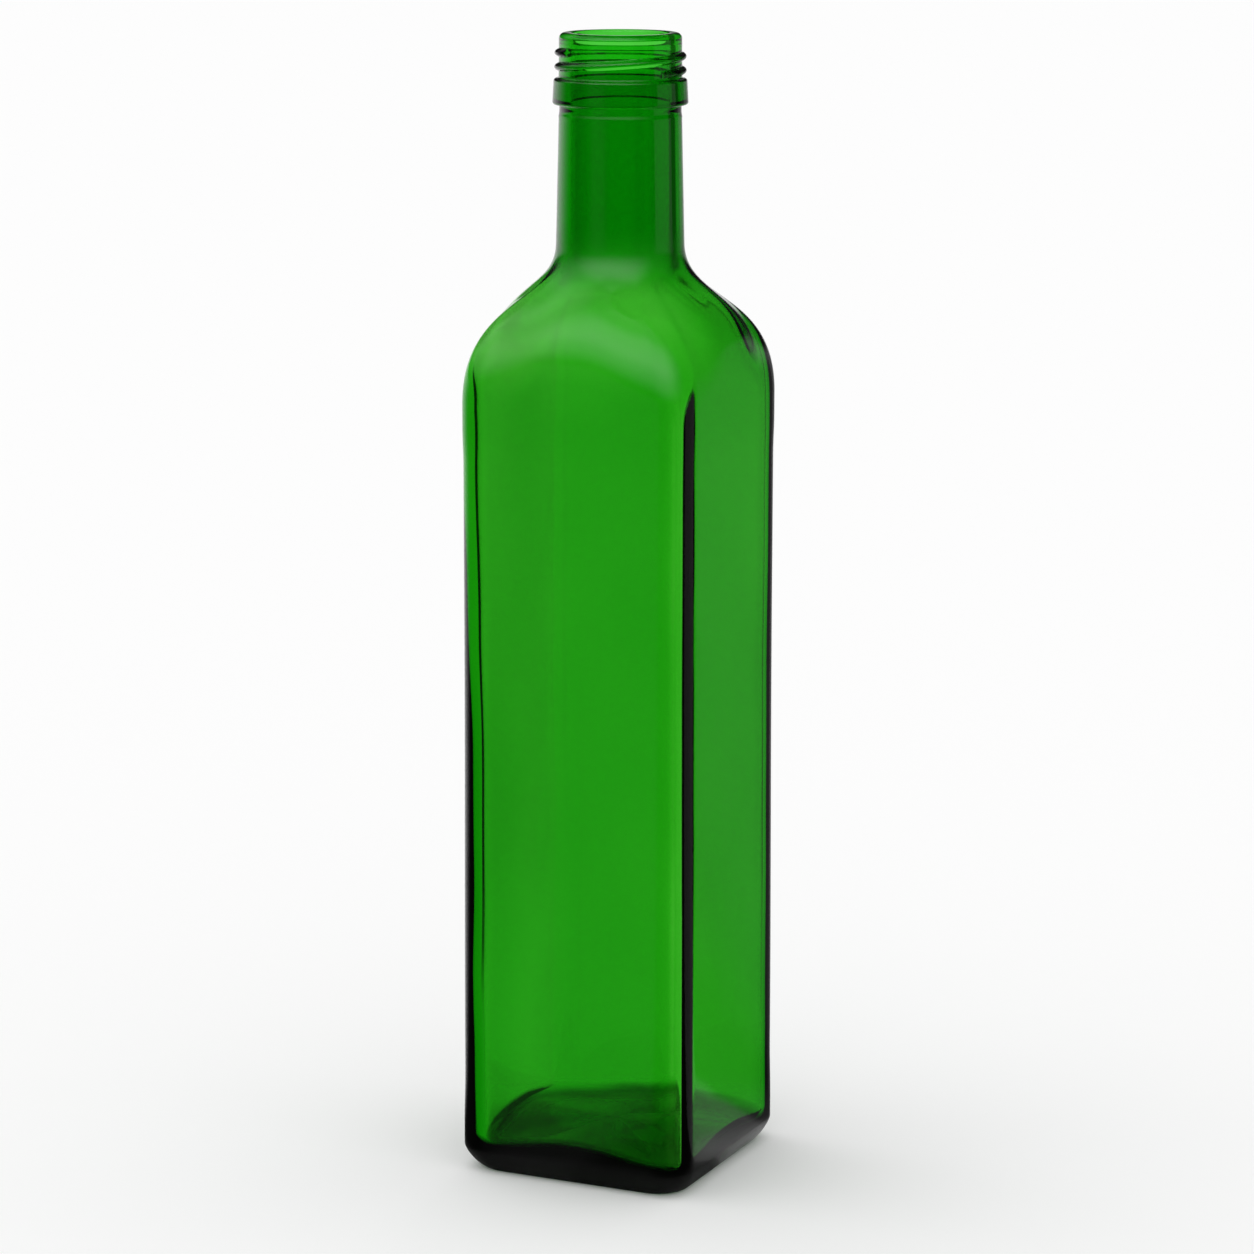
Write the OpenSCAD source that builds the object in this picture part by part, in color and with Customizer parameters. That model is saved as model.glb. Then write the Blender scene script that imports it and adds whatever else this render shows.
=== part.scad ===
// Square-bodied glass oil bottle, moulded in one piece, empty and open.
// Origin: centre of the standing plane. +Z runs up the bottle to its mouth.
// The four flat sides face -X, +X, -Y and +Y.

/* [Overall] */
// Height from the standing plane to the top of the lip
bottle_height = 265; // [225:310]
// Width across the flats in the middle of the sides
body_width = 57.6; // [50:0.2:68]
// Rounding radius of the four upright corners
corner_radius = 7.4; // [5:0.2:14]

/* [Sides] */
// Extra width of the side wall where the sides meet the heel band
side_taper = 0.6; // [0:0.1:2]
// Extra width of the heel band, which takes the knocks on a filling line
heel_band_extra = 0.9; // [0.2:0.1:2]
// Extra width of the band under the shoulder
shoulder_band_extra = 0.3; // [0:0.1:1]
// Height of the middle of the heel band
heel_band_height = 11; // [9:16]
// Height up to which the sides keep their taper
side_bottom_height = 24; // [20:40]

/* [Shoulder] */
// Height below the lip at which the shoulder runs into the neck
shoulder_top_drop = 47.5; // [38:58]
// Height of the shoulder, measured at the middle of a side
shoulder_rise = 28.3; // [20:40]
// How much lower the shoulder starts at the corners than in the middle of a side
arch_drop = 8; // [0:14]
// Share of the shoulder's height that the round lower arch pulls up
arch_pull = 0.675; // [0.4:0.05:0.8]
// Share of the shoulder's height that the hollow under the neck pulls down
neck_pull = 0.405; // [0.2:0.05:0.6]

/* [Neck] */
// Diameter of the neck where the shoulder meets it
neck_bottom_diameter = 29.4; // [25:0.2:34]
// Diameter of the neck under the finish
neck_top_diameter = 28.1; // [25:0.1:30]
// Height below the lip of the joint line between neck ring and body mould
ring_line_drop = 18.8; // [17.5:0.1:22]
// Wall of the neck just above the shoulder
neck_wall_bottom = 3.2; // [2:0.1:5]
// Wall of the neck just under the straight mouth
neck_wall_top = 2.85; // [2:0.05:5]

/* [Finish] */
// Diameter of the straight mouth
mouth_diameter = 21.8; // [20:0.1:29]
// Depth of the straight mouth
mouth_depth = 16; // [12:20]
// Wall round the mouth, from the mouth to the outside of the lip
lip_wall = 3.1; // [1.8:0.1:4]
// Rounding radius of the lip's outer edge
lip_rounding = 1.35; // [0.6:0.05:1.6]
// Rounding radius of the lip's inner edge
mouth_rounding = 0.6; // [0.3:0.05:0.8]
// How far the collar under the thread stands out from the lip's outside
collar_proud = 1.35; // [0.9:0.05:2]
// Height of the collar
collar_height = 5.9; // [4.5:0.1:7]
// Height below the lip of the collar's upper edge
collar_top_drop = 10.3; // [9:0.1:12]
// Rounding radius of the collar's edges
collar_rounding = 0.6; // [0.3:0.05:1]

/* [Glass] */
// Wall thickness of the sides that face -X and +X
side_wall = 2.8; // [2:0.1:4.5]
// Wall thickness of the sides that face -Y and +Y, where more of the glass settled
front_wall = 4.1; // [2:0.1:5.5]
// Rounding radius of the upright inner corners
inner_corner_radius = 5.4; // [3:0.2:12]
// Rounding radius of the inner corner between the -Y and +X sides, where the glass ran thin
thin_corner_radius = 1.2; // [0.8:0.1:12]
// How much lower the inside of the shoulder runs than the outside
shoulder_inner_drop = 1.2; // [0.5:0.1:2.5]

/* [Base] */
// Height over which the heel draws in to the standing plane
heel_height = 5.6; // [3:0.2:8]
// How far the heel draws in at the standing plane
heel_inset = 3.6; // [1.5:0.1:5]
// Fullness of the heel, from 1 for a straight bevel to 2 for a round
heel_fullness = 1.35; // [1:0.05:2]
// Rounding radius of the corners at the standing plane
stand_corner_radius = 7.4; // [4:0.2:12]
// Height of the inner floor at its centre
floor_centre = 8.5; // [6:0.5:12]
// Height of the inner floor near the middle of a side
floor_side = 7.6; // [5:0.5:12]
// Height of the inner floor near a corner
floor_corner = 5; // [3:0.5:10]
// Height of the rounding between floor and wall, at the middle of a side
floor_rounding_side = 8; // [4:0.5:14]
// Height of the rounding between floor and wall, at a corner
floor_rounding_corner = 5; // [3:0.5:10]
// Width of the flat rim that the bottle stands on
standing_rim = 5; // [3:0.5:8]
// Depth of the step inside the standing rim
recess_depth = 0.6; // [0.3:0.1:1.2]
// Extra height of the dished underside at its centre
dish_rise = 1.2; // [0.5:0.1:2.5]

/* [Hidden] */

fine = 96;
glass_green = [0.10, 0.45, 0.09];

// heights
shoulder_top = bottle_height - shoulder_top_drop;
shoulder_start = shoulder_top - shoulder_rise;
ring_line = bottle_height - ring_line_drop;
collar_top = bottle_height - collar_top_drop;
collar_bottom = collar_top - collar_height;
mouth_bottom = bottle_height - mouth_depth;
inner_top = shoulder_top - shoulder_inner_drop;

// radii of neck and finish
neck_low_r = neck_bottom_diameter / 2;
neck_high_r = neck_top_diameter / 2;
mouth_r = mouth_diameter / 2;
lip_r = mouth_r + lip_wall;
collar_r = lip_r + collar_proud;

// half widths
half_side = body_width / 2;
half_taper = half_side + side_taper / 2;
half_heel = half_side + heel_band_extra / 2;
half_band = half_side + shoulder_band_extra / 2;
half_stand = half_heel - heel_inset;

// Rings: sixteen points to a quarter turn, close together round the corners
quarter = 16;
ring_points = 4 * quarter;
corner_span = 18;
function ring_angle(j) = let (q = floor(j / quarter), k = j % quarter)
    90 * q + (k <= 8
        ? -(45 - corner_span / 2) + k * (90 - corner_span) / 8
        : (45 - corner_span / 2) + (k - 8) * corner_span / 8);

// Angle from the nearest side's middle, 0 to 45
function side_angle(angle) = let (m = ((angle % 90) + 90) % 90) min(m, 90 - m);

// Distance from the axis to a square of half width a with corners of radius r
function square_reach(angle, a, r) =
    let (t = side_angle(angle), c = a - r, b = c * (cos(t) + sin(t)))
    a * tan(t) <= c ? a / cos(t) : b + sqrt(max(0, b * b - 2 * c * c + r * r));

// Distance from the axis to the hollow's section, a rectangle of half widths ax and ay
// whose corners are rounded, the one between -Y and +X by its own radius
function hollow_reach(angle, ax, ay, thin) =
    let (r = angle < 0 || angle > 270 ? thin : inner_corner_radius,
         c = abs(cos(angle)) + 1e-9, s = abs(sin(angle)) + 1e-9,
         cx = ax - r, cy = ay - r, b = cx * c + cy * s)
    ax * s / c <= cy ? ax / c
    : ay * c / s <= cx ? ay / s
    : b + sqrt(max(0, b * b - cx * cx - cy * cy + r * r));

// 0 at the middle of a side, 1 at a corner, rising smoothly between them
function corner_share(angle) = let (s = sin(2 * side_angle(angle))) s * s * s;

function mix(a, b, t) = a + (b - a) * t;
function ease(t) = t * t * (3 - 2 * t);
function bezier(a, b, c, d, t) =
    a * pow(1 - t, 3) + 3 * b * t * pow(1 - t, 2) + 3 * c * t * t * (1 - t) + d * pow(t, 3);

// One ring of points, from a list of [distance from axis, height] pairs
function ring(pairs) = [for (j = [0:ring_points - 1])
    [pairs[j][0] * cos(ring_angle(j)), pairs[j][0] * sin(ring_angle(j)), pairs[j][1]]];

// A ring that follows the rounded square at one height
function level(a, r, z) = ring([for (j = [0:ring_points - 1]) [square_reach(ring_angle(j), a, r), z]]);

// A ring of the hollow at one height, for an outer half width a
function hollow_level(a, z) = ring([for (j = [0:ring_points - 1])
    [hollow_reach(ring_angle(j), a - side_wall, a - front_wall, thin_corner_radius), z]]);

// A shoulder ring at share t of the way from the sides (0) to the neck (1)
function shoulder_ring(reaches, neck, start, top, t) = ring([for (j = [0:ring_points - 1])
    let (angle = ring_angle(j),
         from = start - arch_drop * corner_share(angle),
         rise = top - from)
    [mix(reaches[j], neck, ease(t)),
     bezier(from, from + arch_pull * rise, top - neck_pull * rise, top, t)]]);

// A closed skin over a stack of rings, with a middle point at each end
module skin(rings) {
    n = ring_points;
    last = len(rings) - 1;
    foot = [0, 0, rings[0][0][2]];
    head = [0, 0, rings[last][0][2]];
    points = concat([for (loop = rings) each loop], [foot, head]);
    sides = [for (i = [0:last - 1]) for (j = [0:n - 1]) let (k = (j + 1) % n)
        each [[i * n + j, (i + 1) * n + k, i * n + k],
              [i * n + j, (i + 1) * n + j, (i + 1) * n + k]]];
    under = [for (j = [0:n - 1]) [len(points) - 2, j, (j + 1) % n]];
    over = [for (j = [0:n - 1]) [len(points) - 1, last * n + (j + 1) % n, last * n + j]];
    polyhedron(points = points, faces = concat(sides, under, over), convexity = 6);
}

// Outside of heel, sides and shoulder
module outer_form() {
    heel = [for (k = [0:5]) let (
        t = k * 15 + 15,
        out = pow(sin(t), 2 / heel_fullness),
        up = 1 - pow(max(0, cos(t)), 2 / heel_fullness))
        level(mix(half_stand, half_heel, out), mix(stand_corner_radius, corner_radius, out), heel_height * up)];
    foot = [level(half_stand, stand_corner_radius, 0)];
    sides = [level(half_heel, corner_radius, heel_band_height),
             level(half_taper, corner_radius, side_bottom_height),
             level(mix(half_taper, half_side, 0.45), corner_radius, mix(side_bottom_height, shoulder_start, 0.3)),
             level(half_side, corner_radius, mix(side_bottom_height, shoulder_start, 0.65)),
             level(half_side, corner_radius, shoulder_start - arch_drop - 14),
             level(half_band, corner_radius, shoulder_start - arch_drop - 5)];
    reaches = [for (j = [0:ring_points - 1]) square_reach(ring_angle(j), half_band, corner_radius)];
    shoulder = [for (k = [0:14])
        shoulder_ring(reaches, neck_low_r + 0.03, shoulder_start, shoulder_top, k / 14)];
    skin(concat(foot, heel, sides, shoulder));
}

// Arc points in a plane: centre, radius, first and last angle
function arc(x, y, r, from, to, n = 6) =
    [for (k = [0:n]) let (t = mix(from, to, k / n)) [x + r * cos(t), y + r * sin(t)]];

// Neck, ring line, collar and lip, turned about the axis
module neck_and_finish() {
    neck_low = shoulder_top - 6;
    lip = lip_r;
    collar = collar_r;
    top_r = neck_high_r;
    c = collar_rounding;
    profile = concat(
        [[0, neck_low], [neck_low_r, neck_low], [neck_low_r, shoulder_top],
         [top_r, ring_line - 1]],
        arc(top_r - 0.4, ring_line - 0.6, 0.4, 0, 60, 3),
        [[lip - 0.1, ring_line], [lip - 0.1, collar_bottom - 0.3], [lip + 0.2, collar_bottom]],
        arc(collar - c, collar_bottom + c, c, -90, 0, 5),
        arc(collar - c, collar_top - c, c, 0, 90, 5),
        [[lip + 0.3, collar_top], [lip, collar_top + 0.3]],
        arc(lip - lip_rounding, bottle_height - lip_rounding, lip_rounding, 0, 90, 7),
        [[0, bottle_height]]);
    rotate_extrude($fn = fine) polygon(profile);
}

// Hollow of body and shoulder, with rounded corners and an uneven floor
module body_hollow() {
    floor_share = 0.72;
    function low_reach(angle) =
        hollow_reach(angle, half_taper - side_wall, half_taper - front_wall, thin_corner_radius);
    // the flat part of the floor, then the rounding up to the wall
    function floor_point(j, t) = let (
        angle = ring_angle(j), w = corner_share(angle),
        reach = low_reach(angle),
        low = mix(floor_side, floor_corner, w),
        high = mix(floor_rounding_side, floor_rounding_corner, w))
        [reach * (1 - (1 - floor_share) * (1 - sin(t))), low + high * (1 - cos(t))];
    function flat_point(j, share) = let (
        angle = ring_angle(j), w = corner_share(angle),
        reach = low_reach(angle),
        low = mix(floor_side, floor_corner, w))
        [reach * floor_share * share, mix(floor_centre, low, ease(share))];
    flat = [for (share = [0.05, 0.4, 0.7]) ring([for (j = [0:ring_points - 1]) flat_point(j, share)])];
    rounding = [for (t = [0, 18, 36, 54, 72, 90]) ring([for (j = [0:ring_points - 1]) floor_point(j, t)])];
    sides = [hollow_level(half_taper, side_bottom_height + 4),
             hollow_level(half_side, mix(side_bottom_height, shoulder_start, 0.65)),
             hollow_level(half_side, shoulder_start - arch_drop - 6)];
    reaches = [for (j = [0:ring_points - 1]) hollow_reach(ring_angle(j),
        half_side - side_wall, half_side - front_wall, inner_corner_radius)];
    shoulder = [for (k = [0:14]) shoulder_ring(reaches, neck_low_r - neck_wall_bottom - 0.03,
        shoulder_start - shoulder_inner_drop, inner_top, k / 14)];
    skin(concat(flat, rounding, sides, shoulder));
}

// Way through neck and mouth, turned about the axis
module neck_way() {
    m = mouth_rounding;
    low = neck_low_r - neck_wall_bottom;
    high = neck_high_r - neck_wall_top;
    mouth = mouth_r;
    rotate_extrude($fn = fine) polygon(concat(
        [[0, inner_top - 4], [low, inner_top - 4], [low, inner_top + 1], [high, mouth_bottom - 2],
         [mouth, mouth_bottom], [mouth, bottle_height - m]],
        [for (k = [1:5]) let (t = k * 18) [mouth + m * (1 - cos(t)), bottle_height - m + m * sin(t)]],
        [[mouth + m, bottle_height + 1], [0, bottle_height + 1]]));
}

// Shallow dished pocket inside the standing rim
module base_recess() {
    half = half_stand - standing_rim;
    r = max(2, stand_corner_radius - standing_rim * 0.5);
    translate([0, 0, -1]) linear_extrude(height = 1 + recess_depth) union() {
        square([2 * half, 2 * (half - r)], center = true);
        square([2 * (half - r), 2 * half], center = true);
        for (x = [-1, 1], y = [-1, 1])
            translate([x * (half - r), y * (half - r)]) circle(r = r, $fn = fine);
    }
    dish = half - 1.5;
    dish_radius = (dish * dish + dish_rise * dish_rise) / (2 * dish_rise);
    translate([0, 0, recess_depth + dish_rise - dish_radius])
        intersection() {
            sphere(r = dish_radius, $fn = fine);
            translate([0, 0, dish_radius - dish_rise / 2 - 1])
                cube([2 * half, 2 * half, dish_rise + 4], center = true);
        }
}

// The whole bottle: one piece of glass
module bottle() {
    color(glass_green) difference() {
        union() {
            outer_form();
            neck_and_finish();
        }
        body_hollow();
        neck_way();
        base_recess();
    }
}

bottle();
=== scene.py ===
# %% [markdown]
# A glass oil bottle, as a lesson in cells. The bottle is one moulded piece of clear
# green glass: square sides with rounded corners, an arched shoulder, a round neck and
# a screw finish. Clear glass is only as good as its two skins, the outer and the inner
# one, because light bends at both and is soaked up by the glass between them. So both
# skins are worked out here as one closed surface, with numpy, point by point.

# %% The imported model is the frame
import math

import bpy
import numpy as np
from mathutils import Matrix, Vector


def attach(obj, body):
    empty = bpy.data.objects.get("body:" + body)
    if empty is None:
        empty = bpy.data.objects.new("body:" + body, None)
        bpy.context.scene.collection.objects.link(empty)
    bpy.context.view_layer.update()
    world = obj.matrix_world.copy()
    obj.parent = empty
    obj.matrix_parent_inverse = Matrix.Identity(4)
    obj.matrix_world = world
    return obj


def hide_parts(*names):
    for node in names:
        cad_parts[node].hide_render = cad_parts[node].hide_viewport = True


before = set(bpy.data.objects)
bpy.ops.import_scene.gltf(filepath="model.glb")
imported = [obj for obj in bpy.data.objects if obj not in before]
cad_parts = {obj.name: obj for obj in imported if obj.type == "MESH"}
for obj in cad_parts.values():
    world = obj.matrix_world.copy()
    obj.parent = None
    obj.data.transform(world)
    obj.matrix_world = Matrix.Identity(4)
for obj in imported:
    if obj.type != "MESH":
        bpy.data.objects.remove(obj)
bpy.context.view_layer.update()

# %% [markdown]
# The sizes are the construction's own, in millimetres, so that the outer skin lies
# exactly where the solid's does. The outside adds only the screw thread and a fine bead at the
# mould's ring line. The inside is freer, as on any blown bottle: the mouth widens below
# its rim, one wall and the shoulder run thin in places, and the floor has a tight edge.

# %% Sizes in millimetres
HEIGHT = 265.0
HALF_SIDE, HALF_TAPER, HALF_HEEL, HALF_BAND = 28.80, 29.10, 29.25, 28.95
CORNER = 7.4
HEEL_HEIGHT, HEEL_INSET, HEEL_FULLNESS = 5.6, 3.6, 1.35
HALF_STAND = HALF_HEEL - HEEL_INSET
SHOULDER_TOP = HEIGHT - 47.5
SHOULDER_START = SHOULDER_TOP - 28.3
ARCH_DROP, ARCH_PULL, NECK_PULL = 8.0, 0.675, 0.405
NECK_LOW, NECK_HIGH = 14.7, 14.05
RING_LINE = HEIGHT - 18.8
LIP, COLLAR = 14.0, 15.35
COLLAR_TOP, COLLAR_BOTTOM = HEIGHT - 10.3, HEIGHT - 16.2
MOUTH, MOUTH_DEPTH, MOUTH_WIDENS = 10.9, 16.0, 0.6
NECK_INNER_LOW, NECK_INNER_HIGH = 11.5, 11.2
WALL_X, WALL_Y, INNER_DROP = 2.8, 4.1, 1.2
INNER_CORNER, THIN_CORNER = 5.4, 1.2
FLOOR_CENTRE, FLOOR_SIDE, FLOOR_CORNER = 8.5, 7.9, 5.8
ROUND_SIDE, ROUND_CORNER, FLAT_SHARE = 2.8, 2.6, 0.91
RIM, RECESS, RECESS_CORNER, RECESS_STEP, DISH = 5.0, 0.6, 4.9, 0.7, 1.2
print("bottle", HEIGHT, "mm tall,", 2 * HALF_HEEL, "mm across the heel band")

# %% [markdown]
# Every level of the bottle is a ring. A ring needs more points round a corner than
# along a flat side, so the angles are spaced to suit: they crowd together at the four
# corners, where a ring has to turn, and thin out along the sides.

# %% Angles of a ring, and the rounded square
QUARTER = 52


def ring_angles():
    """Angles in radians. Across a quarter turn t runs from -1 to 1, and the angle from the
    corner is 45 degrees times (0.3 t + 0.7 t cubed): slow at the corner, fast beside it."""
    t = np.linspace(-1, 1, QUARTER, endpoint=False)
    return np.radians((np.arange(4)[:, None] * 90 + 45 + 45 * (0.3 * t + 0.7 * t**3)).ravel())


ANGLE = ring_angles()
SIDE_ANGLE = np.abs((ANGLE + np.pi / 4) % (np.pi / 2) - np.pi / 4)
CORNERNESS = np.sin(2 * SIDE_ANGLE) ** 3


def square_reach(half, radius):
    """Distance from the axis to a square with round corners, at every ring angle. On the
    flat it is half / cos(angle). Round a corner it is the far crossing of the ray with
    the corner's circle. half and radius may be columns, for many rings at once."""
    centre = half - radius
    along = centre * (np.cos(SIDE_ANGLE) + np.sin(SIDE_ANGLE))
    round_part = along + np.sqrt(np.maximum(along**2 - 2 * centre**2 + radius**2, 0))
    return np.where(half * np.tan(SIDE_ANGLE) <= centre, half / np.cos(SIDE_ANGLE), round_part)


def inner_reach(half_x, half_y, thin):
    """Distance from the axis to the hollow's section, a rectangle with round corners, of
    which the one between -Y and +X has its own radius. On the flats it is half_x / |cos|
    or half_y / |sin|, and round a corner the far crossing with that corner's circle."""
    radius = np.where((ANGLE > 1.5 * np.pi) & (ANGLE < 2 * np.pi), thin, INNER_CORNER)
    c, s = np.abs(np.cos(ANGLE)) + 1e-9, np.abs(np.sin(ANGLE)) + 1e-9
    cx, cy = half_x - radius, half_y - radius
    along = cx * c + cy * s
    corner = along + np.sqrt(np.maximum(along**2 - cx**2 - cy**2 + radius**2, 0))
    past_x = np.where(half_y * c / s <= cx, half_y / s, corner)
    return np.where(half_x * s / c <= cy, half_x / c, past_x)


def mix(a, b, t):
    """a at t = 0, b at t = 1."""
    return a + (b - a) * t


def ease(t):
    """Smooth step: 3 t squared less 2 t cubed, level at both ends."""
    t = np.clip(t, 0, 1)
    return t * t * (3 - 2 * t)


def column(start, end, steps):
    """Steps from start to end as a column, so that it broadcasts against the angles."""
    return np.linspace(start, end, steps)[:, None]


def all_round(z):
    """A column carried round all ring angles, so that every ring has one value."""
    return z + 0 * ANGLE


print(len(ANGLE), "points to a ring")

# %% [markdown]
# The underside is a flat rim that the bottle stands on, round a shallow dished recess.
# The skin starts at the middle of the dish and works its way outwards.

# %% Underside and heel


def underside():
    """A dish: height falls as the square of the share of the way out, then an eased step
    of the recess's depth, then the flat rim."""
    share = column(0, 1, 12)
    half = HALF_STAND - RIM
    dish = (square_reach(half, RECESS_CORNER) * share, all_round(RECESS + DISH * (1 - share**2)))
    step = RECESS_STEP * column(0.1, 1, 7)
    drop = all_round(RECESS * (1 - ease(step / RECESS_STEP)))
    wall = (square_reach(half + step, RECESS_CORNER + step), drop)
    flat = column(0.25, 1, 4)
    rim_half = mix(half + RECESS_STEP, HALF_STAND, flat)
    rim_corner = mix(RECESS_CORNER + RECESS_STEP, CORNER, flat)
    return [dish, wall, (square_reach(rim_half, rim_corner), all_round(0 * flat))]


def heel():
    """From the standing rim out to the heel band, between a bevel and a round: a quarter
    ellipse whose sine and cosine are raised to the power 2 / fullness."""
    turn = np.radians(column(6, 90, 18))
    power = 2 / HEEL_FULLNESS
    half = mix(HALF_STAND, HALF_HEEL, np.sin(turn) ** power)
    height = HEEL_HEIGHT * (1 - np.maximum(np.cos(turn), 0) ** power)
    return [(square_reach(half, CORNER), all_round(height))]


print("underside and heel:", sum(len(r) for r, z in underside() + heel()), "rings")

# %% [markdown]
# The sides are not quite straight. Bottles of this kind carry a band at the heel and
# another under the shoulder that stand a little proud and take the knocks, and the
# sides draw in slightly as they rise.

# %% Sides and shoulder
HEEL_BAND_TOP, TAPER_START = 11, 24
PLAIN_START = mix(TAPER_START, SHOULDER_START, 0.65)
SIDE_TOP = SHOULDER_START - ARCH_DROP
BAND_START, BAND_END = SIDE_TOP - 14, SIDE_TOP - 5
SHOULDER_RINGS = 48


def sides():
    """Half width eased from level to level: heel band, taper, plain side, upper band."""
    levels = np.array([HEEL_HEIGHT, HEEL_BAND_TOP, TAPER_START, PLAIN_START, BAND_START, BAND_END])
    widths = np.array([HALF_HEEL, HALF_HEEL, HALF_TAPER, HALF_SIDE, HALF_SIDE, HALF_BAND])
    z = np.concatenate([
        np.linspace(HEEL_HEIGHT + 1.4, TAPER_START, 14),
        np.linspace(TAPER_START + 4, BAND_START - 2, 24),
        np.linspace(BAND_START, BAND_END, 8),
    ])
    slot = np.clip(np.searchsorted(levels, z) - 1, 0, len(levels) - 2)
    share = (z - levels[slot]) / (levels[slot + 1] - levels[slot])
    half = mix(widths[slot], widths[slot + 1], ease(share))[:, None]
    return [(square_reach(half, CORNER), all_round(z[:, None]))]


def shoulder(square, neck, start, top):
    """Each angle follows its own curve from the square's reach to the neck's. The reach
    is eased, the height is a Bezier curve with upright ends, and the curve starts lower
    at the corners, so that each side ends in an arch."""
    t = column(0, 1, SHOULDER_RINGS)
    begin = start - ARCH_DROP * CORNERNESS
    rise = top - begin
    reach = mix(square, neck, ease(t))
    height = (
        begin * (1 - t) ** 3
        + 3 * (begin + ARCH_PULL * rise) * t * (1 - t) ** 2
        + 3 * (top - NECK_PULL * rise) * t**2 * (1 - t)
        + top * t**3
    )
    return [(reach, height)]


print("sides and shoulder:", len(sides()[0][0]) + SHOULDER_RINGS, "rings")

# %% [markdown]
# The neck is round. It ends at a ring line, where the two-part neck ring of the mould
# met the body mould and left a fine raised bead. Above it come the collar, the thread
# and the lip. All of this is one profile, turned about the axis, until the thread is
# added to it.

# %% Neck, collar and lip
RING_WALL, RING_BEAD, RING_BEAD_HALF = LIP - 0.08, 0.02, 0.55
COLLAR_FOOT, COLLAR_HEAD, COLLAR_EDGE = COLLAR + 0.13, COLLAR - 0.12, 0.6
UNDER_COLLAR, OVER_COLLAR = 0.4, 0.35
LIP_EDGE, MOUTH_EDGE, LIP_WALL_FOOT = 1.35, 0.6, HEIGHT - 2.6


def arc(x, y, radius, first, last, steps):
    """Points round a centre from the first angle to the last, in degrees."""
    turn = np.radians(np.linspace(first, last, steps))
    return np.c_[x + radius * np.cos(turn), y + radius * np.sin(turn)]


def line(a, b, steps):
    """Points from a to b, without a itself."""
    return np.linspace(a, b, steps + 1)[1:]


def turned(profile):
    """A profile of (reach, height) rows carried once round the axis."""
    return [(all_round(profile[:, :1]), all_round(profile[:, 1:]))]


def neck_to_thread():
    """Neck wall, bead of the ring line, step to the neck ring's wall, and the collar with
    round edges, 0.25 mm wider at its foot than at its head."""
    z = np.linspace(-1.3, 1.1, 13)
    step = mix(NECK_HIGH + 0.02, RING_WALL, ease((z + 0.2) / 1.3))
    bead = RING_BEAD * np.exp(-((z / RING_BEAD_HALF) ** 2))
    under, over = RING_WALL + UNDER_COLLAR, LIP + 0.45
    foot, head = COLLAR_FOOT - COLLAR_EDGE, COLLAR_HEAD - COLLAR_EDGE
    return turned(np.concatenate([
        line((NECK_LOW, SHOULDER_TOP), (NECK_HIGH + 0.04, RING_LINE - 1.5), 14),
        np.c_[step + bead, RING_LINE + z],
        line((RING_WALL, RING_LINE + 1.1), (RING_WALL, COLLAR_BOTTOM - 0.45), 3),
        arc(under, COLLAR_BOTTOM - UNDER_COLLAR, UNDER_COLLAR, 180, 90, 6),
        line((under, COLLAR_BOTTOM), (foot, COLLAR_BOTTOM), 3),
        arc(foot, COLLAR_BOTTOM + COLLAR_EDGE, COLLAR_EDGE, -80, 0, 8),
        line((COLLAR_FOOT, COLLAR_BOTTOM + COLLAR_EDGE), (COLLAR_HEAD, COLLAR_TOP - COLLAR_EDGE), 8),
        arc(head, COLLAR_TOP - COLLAR_EDGE, COLLAR_EDGE, 10, 90, 8),
        line((head, COLLAR_TOP), (over, COLLAR_TOP), 3),
        arc(over, COLLAR_TOP + OVER_COLLAR, OVER_COLLAR, 260, 180, 6),
    ]))


def lip_and_mouth():
    """Wall above the thread, round outer edge, crest, round inner edge, and the mouth, which
    widens a little below its rim."""
    top, wide, foot = HEIGHT, MOUTH + MOUTH_WIDENS, HEIGHT - MOUTH_DEPTH
    return turned(np.concatenate([
        line((LIP, LIP_WALL_FOOT), (LIP, top - 1.4), 4),
        arc(LIP - LIP_EDGE, top - LIP_EDGE, LIP_EDGE, 6, 90, 14),
        line((LIP - LIP_EDGE, top), (MOUTH + MOUTH_EDGE, top), 2),
        arc(MOUTH + MOUTH_EDGE, top - MOUTH_EDGE, MOUTH_EDGE, 100, 180, 8),
        line((MOUTH, top - MOUTH_EDGE), (wide, LIP_WALL_FOOT), 6),
        line((wide, LIP_WALL_FOOT), (wide, foot), 12),
        line((wide, foot), (NECK_INNER_HIGH, foot - 2), 4),
        line((NECK_INNER_HIGH, foot - 2), (NECK_INNER_LOW, SHOULDER_TOP - INNER_DROP), 14),
    ]))


print("neck, collar and lip:", len(neck_to_thread()[0][0]) + len(lip_and_mouth()[0][0]), "rings")

# %% [markdown]
# The thread is a round bead that climbs to the right, about one and three quarter
# turns, and fades out at both ends. On a grid of angles and heights it is a bump of
# the reach wherever the height is near the helix.

# %% Screw thread
PITCH, BEAD, BEAD_HALF = 3.2, 1.0, 0.95
FIRST, LAST, FADE = -52.0, 577.0, 26.0
BEAD_LEVEL, TILT, WALL_SWELLS = 256.1, 0.41, 0.06
FRONT_VIEW = 24.85


def thread():
    """Reach of the wall, which swells a little downwards, plus a bead. The bead's middle
    climbs one pitch a turn, with a small once-a-turn tilt; across the bead its height is a
    near half round."""
    z = all_round(column(COLLAR_TOP + 0.45, LIP_WALL_FOOT - 0.1, 62))
    bump = 0 * z
    for turn in (-1, 0, 1, 2):
        around = np.degrees(ANGLE) - FRONT_VIEW + 360 * turn
        middle = BEAD_LEVEL + PITCH * around / 360 + TILT * np.cos(np.radians(around))
        across = np.clip(1 - ((z - middle) / BEAD_HALF) ** 2, 0, 1) ** 0.8
        fade = ease((around - FIRST) / FADE) * ease((LAST - around) / FADE)
        bump = np.maximum(bump, BEAD * fade * across)
    return [(LIP + WALL_SWELLS * ease((261 - z) / 4) + bump, z)]


print("thread rises to", round(float(thread()[0][0].max()), 2), "mm from the axis")

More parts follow.
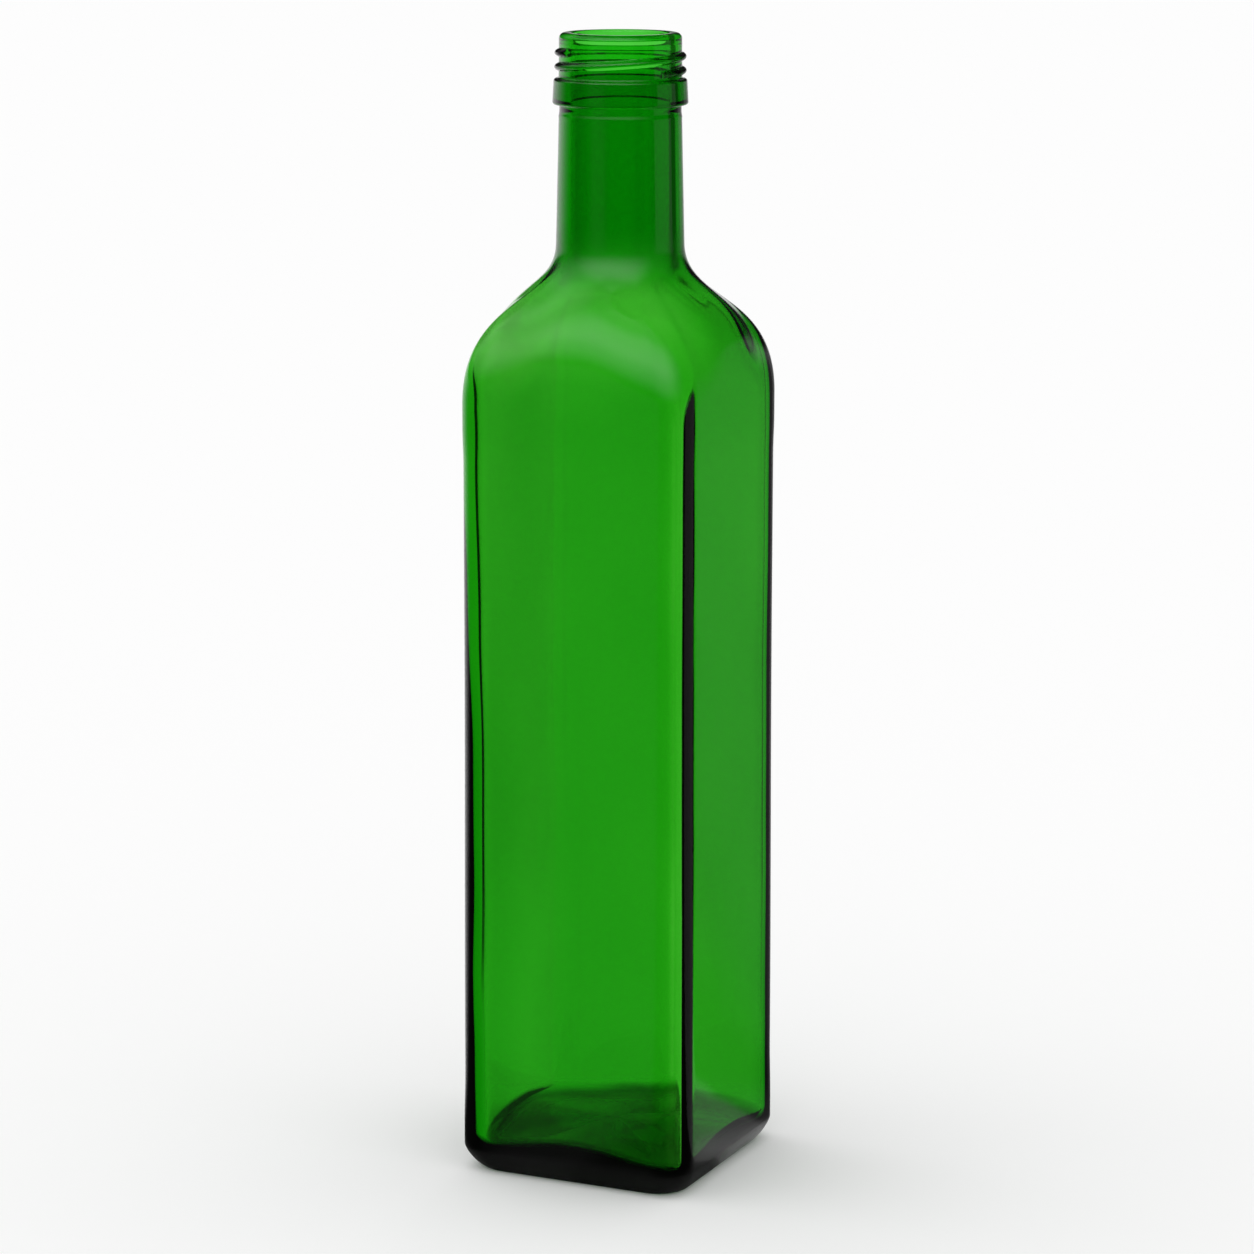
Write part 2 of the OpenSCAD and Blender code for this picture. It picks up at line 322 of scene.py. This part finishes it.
# %% [markdown]
# The inner skin was never touched by the mould. It was blown, so its corners came out
# soft, all but one, and its wall wanders by some tenths of a millimetre. That wander is
# what bends the dark lines along the corners of a real bottle. Glass also settles
# unevenly while it is blown, so one wall runs from thick to thin. The floor dips at the
# corners and rides up at the middle of the sides.

# %% Hollow
WALL_FOOT, SHOULDER_LEVEL = 28.0, 190.0
THICKER, THINS, THINS_FROM, THINS_TO = 0.75, 1.65, 50.0, 200.0
SHOULDER_THINS = 1.6


def wander(z):
    """Change of the inner reach: a few slow waves up the bottle, with a phase that turns
    with the angle, and nearly three times as strong at the corners as on the sides."""
    waves = (
        0.20 * np.sin(z / 31 + 1.3 + 2 * np.sin(ANGLE))
        + 0.12 * np.sin(z / 13.7 + 0.4 + 3 * np.cos(ANGLE))
        + 0.06 * np.sin(z / 6.1 + 5 * ANGLE)
    )
    return waves * (0.35 + 0.65 * CORNERNESS)


def thinner(z):
    """The wall facing -X runs from thicker than its mate to thinner as it rises. It does so
    from 2.7 radians round, just before its middle, and in full from 3.6 radians on."""
    across = np.where(ANGLE < 1.5 * np.pi, ease((ANGLE - 2.7) / 0.9), 0)
    return (THINS * ease((z - THINS_FROM) / (THINS_TO - THINS_FROM)) - THICKER) * across


def hollow_sides():
    """Inner wall from the shoulder down to the floor's rounding."""
    z = column(SIDE_TOP - 3, WALL_FOOT, 54)
    share = np.clip((z - WALL_FOOT) / (PLAIN_START - WALL_FOOT), 0, 1)
    half = mix(HALF_TAPER, HALF_SIDE, share)
    reach = inner_reach(half - WALL_X + thinner(z), half - WALL_Y, THIN_CORNER)
    return [(reach + wander(z), all_round(z))]


def hollow_floor():
    """Rounding from wall to floor, a quarter ellipse taller at the sides than at the
    corners, then the floor, eased from its edge up to its middle."""
    half_x, half_y = HALF_TAPER - WALL_X + thinner(WALL_FOOT), HALF_TAPER - WALL_Y
    reach = inner_reach(half_x, half_y, THIN_CORNER) + wander(WALL_FOOT)
    low = mix(FLOOR_SIDE, FLOOR_CORNER, CORNERNESS)
    high = mix(ROUND_SIDE, ROUND_CORNER, CORNERNESS)
    turn = np.radians(column(90, 0, 22))
    rounding = (reach * (1 - (1 - FLAT_SHARE) * (1 - np.sin(turn))), low + high * (1 - np.cos(turn)))
    share = column(1, 0, 20)[1:]
    flat = (reach * FLAT_SHARE * share, mix(FLOOR_CENTRE, low, ease(share)))
    return [rounding, flat]


def hollow_shoulder():
    """The outer shoulder's curve, carried inwards and a little down, read from the top.
    Its thin corner widens to the others' radius over the first part of the way, and its
    wall is 1.6 mm thinner half way up, but for the side facing +X."""
    thin = mix(THIN_CORNER, INNER_CORNER, ease(column(0, 1, SHOULDER_RINGS) / 0.16))
    square = inner_reach(HALF_SIDE - WALL_X + thinner(SHOULDER_LEVEL), HALF_SIDE - WALL_Y, thin)
    start, top = SHOULDER_START - INNER_DROP, SHOULDER_TOP - INNER_DROP
    (reach, height), = shoulder(square, NECK_INNER_LOW, start, top)
    thinned = ease((height - 182) / 12) * ease((SHOULDER_TOP - 2 - height) / 10)
    reach = reach + wander(height) * ease((SHOULDER_TOP - 6 - height) / 12)
    reach = reach + SHOULDER_THINS * thinned * ease(1.1 - np.cos(ANGLE - 0.4))
    return [(reach[::-1][1:], height[::-1][1:])]


print("hollow:", sum(len(r) for r, z in hollow_shoulder() + hollow_sides() + hollow_floor()), "rings")

# %% [markdown]
# All rings go into one mesh, in the order in which a finger would travel: out from the
# middle of the underside, up the outside, over the lip, down the inside, and in to the
# middle of the floor. The first and last ring are single points, so the skin is closed.

# %% One closed skin


def skin(name, blocks):
    """Stacks the blocks of rings, turns reach and angle into x and y in metres, joins ring
    to ring with four-sided faces, and closes both poles with fans."""
    reach = np.concatenate([r for r, z in blocks])[1:-1]
    height = np.concatenate([z for r, z in blocks])
    rings, n = reach.shape
    rim = np.stack([reach * np.cos(ANGLE), reach * np.sin(ANGLE), height[1:-1]], axis=-1).reshape(-1, 3)
    points = np.concatenate([rim, [[0, 0, height[0, 0]], [0, 0, height[-1, 0]]]]) / 1000
    i, j = np.meshgrid(np.arange(rings - 1), np.arange(n), indexing="ij")
    k = (j + 1) % n
    quads = np.stack([i * n + j, i * n + k, (i + 1) * n + k, (i + 1) * n + j], axis=-1).reshape(-1, 4)
    a = np.arange(n)
    b = (a + 1) % n
    first, last = len(rim), len(rim) + 1
    fans = np.concatenate([
        np.stack([first + 0 * a, b, a], axis=-1),
        np.stack([last + 0 * a, (rings - 1) * n + a, (rings - 1) * n + b], axis=-1),
    ])
    mesh = bpy.data.meshes.new(name)
    mesh.from_pydata(points, [], quads.tolist() + fans.tolist())
    mesh.polygons.foreach_set("use_smooth", np.ones(len(mesh.polygons), dtype=bool))
    mesh.update()
    print(name, len(points), "points", 2 * len(quads) + len(fans), "triangles")
    piece = bpy.data.objects.new(name, mesh)
    bpy.context.scene.collection.objects.link(piece)
    return piece, points, quads, fans


blocks = (
    underside() + heel() + sides()
    + shoulder(square_reach(HALF_BAND, CORNER), NECK_LOW, SHOULDER_START, SHOULDER_TOP)
    + neck_to_thread() + thread() + lip_and_mouth()
    + hollow_shoulder() + hollow_sides() + hollow_floor()
)
glass, points, quads, fans = skin("glass_skin", blocks)


def enclosed(points, quads, fans):
    """Sum over all triangles of a . (b x c) / 6: the volume, if faces point outwards."""
    tris = np.concatenate([quads[:, :3], quads[:, [0, 2, 3]], fans])
    a, b, c = points[tris[:, 0]], points[tris[:, 1]], points[tris[:, 2]]
    return float(np.einsum("ij,ij->i", a, np.cross(b, c)).sum() / 6)


volume = enclosed(points, quads, fans)
print("glass", round(volume * 1e6, 1), "ml, so", round(volume * 2.5e6), "g")

# %% [markdown]
# Shader maths reads best as plain expressions. A small class wraps a socket, adds a
# node for every operator, and has one method that makes any other node.

# %% Writing shaders as expressions


class Sock:
    """One output socket. Operators on it add Math nodes."""

    def __init__(self, tree, out):
        self.tree, self.out = tree, out

    def node(self, kind, inputs=None, out=0, **settings):
        """Makes a node of any kind: settings first, then its sockets, by name or number."""
        made = self.tree.nodes.new(kind)
        for key, value in settings.items():
            setattr(made, key, value)
        for key, value in (inputs or {}).items():
            if isinstance(value, Sock):
                self.tree.links.new(value.out, made.inputs[key])
            else:
                made.inputs[key].default_value = value
        return Sock(self.tree, made.outputs[out]) if made.outputs else made

    def math(self, operation, a, b):
        return self.node("ShaderNodeMath", {0: a, 1: b}, operation=operation)

    def __add__(self, other):
        return self.math("ADD", self, other)

    def __mul__(self, other):
        return self.math("MULTIPLY", self, other)

    def __sub__(self, other):
        return self.math("SUBTRACT", self, other)

    def __rsub__(self, other):
        return self.math("SUBTRACT", other, self)

    __radd__, __rmul__ = __add__, __mul__

    def above(self, edge, width):
        """0 below the edge, 1 from edge + width on, smooth between."""
        ends = {"Value": self, "From Min": edge, "From Max": edge + width}
        return self.node("ShaderNodeMapRange", ends, interpolation_type="SMOOTHSTEP")


def begin(tree):
    """Empties a node tree and returns a maker of nodes in it."""
    tree.nodes.clear()
    return Sock(tree, None)


print("shader helper ready")

# %% [markdown]
# Green bottle glass is clear: nothing in it scatters. Its colour comes from soaking up
# red and blue on the way through, so thin glass is bright and the thick base is almost
# black. That is a volume absorption, not a surface colour. The surface is smooth, with
# the faint orange-peel that a mould leaves, as a bump far too small for geometry.

# %% Green glass


def make_glass():
    """Principled transmission at index 1.52 over an absorption per metre, with a bump. Neck
    and collar are a deeper green than the lip, as a tint of the surface, and the foot of
    the neck is faintly rough."""
    material = bpy.data.materials.new("green_glass")
    material.use_nodes = True
    tree = material.node_tree
    new = begin(tree)
    place = new.node("ShaderNodeTexCoord", out="Object")
    slow = new.node("ShaderNodeTexNoise", {"Vector": place, "Scale": 55.0, "Detail": 1.0}, out=0)
    ripple = new.node("ShaderNodeBump", {"Strength": 0.25, "Distance": 0.0004, "Height": slow})
    z = new.node("ShaderNodeSeparateXYZ", {0: place}, out=2)
    high, lip = z.above(0.200, 0.022), z.above(0.2552, 0.003)
    strong, weak = 1 - 0.92 * high + 0.24 * lip, 1 - 0.37 * high + 0.28 * lip
    tint = new.node("ShaderNodeCombineColor", {0: strong, 1: weak, 2: strong})
    haze = 0.16 * z.above(0.208, 0.006) * (1 - z.above(0.217, 0.008))
    surface = new.node("ShaderNodeBsdfPrincipled", {
        "Base Color": tint,
        "Roughness": haze,
        "IOR": 1.52,
        "Transmission Weight": 1.0,
        "Normal": ripple,
    })
    soaked = {"Color": (0.31, 0.825, 0.135, 1), "Density": 740.0}
    depth = new.node("ShaderNodeVolumeAbsorption", soaked)
    new.node("ShaderNodeOutputMaterial", {"Surface": surface, "Volume": depth})
    return material


glass.data.materials.append(make_glass())
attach(glass, "root")
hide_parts("bottle")
print("glass finished")

# %% [markdown]
# A studio for glass is white behind the bottle and dim elsewhere. What the camera sees
# through the bottle is white, but for a black flag at each side and a grey one, which
# give glass its fine dark edges. What the glass mirrors is mostly dim, but for white
# behind and a bright strip at the right. The camera itself sees only white. So floor
# and world share one pattern by the direction from the bottle, and each kind of ray
# takes its own part of it.

# %% Pattern of the studio
DIM = 0.02


def round_about(turn, distance, height):
    """A place round the bottle. Turn 0 is straight behind it, seen from the front view,
    90 is to its right, and 180 is where the camera stands."""
    a = math.radians(FRONT_VIEW + 180 - turn)
    return (distance * math.sin(a), -distance * math.cos(a), height)


def turn_about(new, vector):
    """Of a vector: its turn in degrees from -180 to 180, counted as in round_about, its
    level length, and its rise above the horizon in degrees."""
    a = math.radians(FRONT_VIEW)
    xyz = new.node("ShaderNodeSeparateXYZ", {0: vector}).out.node
    x, y, z = [Sock(new.tree, o) for o in xyz.outputs]
    aside, behind = x * math.cos(a) + y * math.sin(a), y * math.cos(a) - x * math.sin(a)
    length = new.math("SQRT", x * x + y * y, 0.0)
    degrees = 180 / math.pi
    return new.math("ARCTAN2", aside, behind) * degrees, length, new.math("ARCTAN2", z, length) * degrees


def strip(turn, low, high, soft):
    """1 between two angles, 0 outside, with smooth edges that are soft degrees wide."""
    return turn.above(low - soft / 2, soft) * (1 - turn.above(high - soft / 2, soft))


def ray_kinds(new):
    """The three kinds of ray that matter here. A ray that passed clear glass counts as
    glossy too, so the mirrored ones are the glossy ones that didn't pass it last."""
    path = new.node("ShaderNodeLightPath").out.node
    names = ("Is Camera Ray", "Is Transmission Ray", "Is Glossy Ray")
    camera, through, glossy = [Sock(new.tree, path.outputs[name]) for name in names]
    return camera, through, glossy * (1 - through)


def mirrored(turn):
    """Brightness that the upright glass mirrors: white behind, fading to the left and in
    steps to the right, a strip at the right with sharp edges, else dim."""
    return (
        DIM + 0.84 * strip(turn, -57, 16, 40)
        + 0.20 * strip(turn, 16, 42, 8)
        + 0.08 * strip(turn, 36, 56, 12)
        + 0.18 * strip(turn, 72, 114, 4)
        + 0.06 * strip(turn, -152, -124, 14)
    )


def seen_through(turn):
    """White, but for a black flag at each side and a grey one at the right."""
    black = strip(turn, -104, -72, 3) + strip(turn, 127, 149, 8)
    return 1 - 0.97 * black - 0.75 * strip(turn, 35, 60, 8)


print("pattern ready")

# %% [markdown]
# The floor is plain and white. Its brightness comes from the light on it, so it keeps
# the bottle's shadow.

# %% Floor


def make_floor():
    """One large square just under the standing rim, matt white. Its colour in rays that
    passed the glass or were mirrored by it follows the studio's pattern. In mirrored
    rays it carries a painted reflection: it is painted lighter close to the bottle, most
    to the right, where the heel mirrors it. In rays through the glass it carries a painted
    shadow: it is painted dark under the foot. Away from the foot those rays see it
    without shadow."""
    half, drop = 9.0, -0.00004
    mesh = bpy.data.meshes.new("floor")
    corners = [(x * half, y * half, drop) for x, y in ((-1, -1), (1, -1), (1, 1), (-1, 1))]
    mesh.from_pydata(corners, [], [(0, 1, 2, 3)])
    floor = bpy.data.objects.new("floor", mesh)
    bpy.context.scene.collection.objects.link(floor)
    material = bpy.data.materials.new("floor_white")
    material.use_nodes = True
    new = begin(material.node_tree)
    turn, away, _ = turn_about(new, new.node("ShaderNodeTexCoord", out="Object"))
    _, through, mirror = ray_kinds(new)
    right, foot = strip(turn, 20, 110, 30), 1 - away.above(0.034, 0.02)
    # Painted reflection: near the foot, the floor is painted lighter in mirrored rays, most to the
    # right, so that the heel mirrors a brighter floor than the shaded one there.
    beside = (1 - away.above(0.03, 0.07)) * 0.1 * right + foot * (0.13 + 0.42 * right)
    # Painted shadow: in rays through the glass, the floor under the foot is painted 70 per cent darker.
    # The rest of this darkening is the studio's black and grey flags.
    dark = (1 - seen_through(turn)) * away.above(0.12, 0.2) + 0.7 * (1 - away.above(0.03, 0.02))
    shade = 0.98 * (1 - through * dark - mirror * (1 - mirrored(turn)) * (1 - beside))
    tone = new.node("ShaderNodeCombineColor", {0: shade, 1: shade, 2: shade})
    matt = new.node("ShaderNodeBsdfDiffuse", {"Color": tone, "Roughness": 0.0})
    even = new.node("ShaderNodeEmission", {"Color": tone, "Strength": 1.0})
    share = (through + mirror) * away.above(0.028, 0.03)
    both = new.node("ShaderNodeMixShader", {0: share, 1: matt, 2: even})
    new.node("ShaderNodeOutputMaterial", {"Surface": both})
    mesh.materials.append(material)
    return floor


floor = make_floor()
print("floor", floor.dimensions[:])

# %% [markdown]
# The world lights everything softly from all sides. A large soft box at the front left,
# above the camera, is mirrored by the shoulder, and a broad light from the left gives
# the soft shadow on the floor.

# %% World and lamp
SKY, LAMP = 0.925, 0.10


def make_world():
    """White, with the studio's pattern for rays that the glass passed on or mirrored. The
    pattern ends just above the horizon, and over it the mirrored soft box hangs."""
    world = bpy.data.worlds.new("studio")
    bpy.context.scene.world = world
    world.use_nodes = True
    new = begin(world.node_tree)
    turn, _, rise = turn_about(new, new.node("ShaderNodeTexCoord", out="Generated"))
    camera, through, mirror = ray_kinds(new)
    left = 1 - 0.65 * turn.above(-135, 50) - 0.35 * turn.above(-55, 30) + turn.above(108, 66)
    box = 0.75 * rise.above(4, 18) + 0.65 * rise.above(18, 20)
    box = box - 0.3 * rise.above(40, 25) - 0.8 * rise.above(58, 20)
    glossy = DIM + (1 - rise.above(1, 4)) * (mirrored(turn) - DIM) + left * box
    lighting = (1 - camera) * (1 - through)
    bright = 1 - (1 - SKY) * lighting - through * (1 - seen_through(turn)) - mirror * (SKY - glossy)
    light = new.node("ShaderNodeBackground", {"Color": (1, 1, 1, 1), "Strength": bright})
    new.node("ShaderNodeOutputWorld", {"Surface": light})
    return world


def broad_light(name, at, spread, level):
    """A distant light as wide as spread in degrees, shining from a place towards the
    bottle. A level floor gets level times pi times the sine of its rise from it."""
    lamp = bpy.data.lights.new(name, "SUN")
    lamp.angle = math.radians(spread)
    lamp.energy = level * math.pi
    light = bpy.data.objects.new(name, lamp)
    light.location = at
    light.rotation_euler = (-Vector(at)).to_track_quat("-Z", "Y").to_euler()
    light.visible_camera = light.visible_glossy = light.visible_transmission = False
    bpy.context.scene.collection.objects.link(light)
    return light


make_world()
broad_light("light_left", round_about(-70, 1.0, 1.2), 60, LAMP)

# %% [markdown]
# The camera stands a little above the bottle and a metre away, and looks slightly
# down. Its distance sets how much the sides converge; its lens sets the size.

# %% Camera
DISTANCE, CAMERA_HEIGHT, DOWN, ROLL = 0.9763, 0.3235, 11.35, 0.10
FOCAL_PIXELS, FRAME_PIXELS, OFF_CENTRE, SENSOR = 4274.4, 1254, -7.45, 36.0


def make_camera():
    """Stands at a turn of 180 and a height, looks level towards the axis, is pitched down,
    and turned a hair aside so that the bottle's axis lies left of the frame's middle."""
    data = bpy.data.cameras.new("camera")
    data.sensor_width = SENSOR
    data.lens = FOCAL_PIXELS / FRAME_PIXELS * SENSOR
    data.clip_start, data.clip_end = 0.05, 60
    camera = bpy.data.objects.new("camera", data)
    bpy.context.scene.collection.objects.link(camera)
    bpy.context.scene.camera = camera
    aside = math.degrees(math.atan(OFF_CENTRE / FOCAL_PIXELS))
    turn = (
        Matrix.Rotation(math.radians(FRONT_VIEW + aside), 4, "Z")
        @ Matrix.Rotation(math.radians(90 - DOWN), 4, "X")
        @ Matrix.Rotation(math.radians(ROLL), 4, "Z")
    )
    camera.matrix_world = Matrix.Translation(round_about(180, DISTANCE, CAMERA_HEIGHT)) @ turn
    return camera


camera = make_camera()
bpy.context.scene.view_settings.view_transform = "Standard"
print("lens", round(camera.data.lens, 2), "mm")
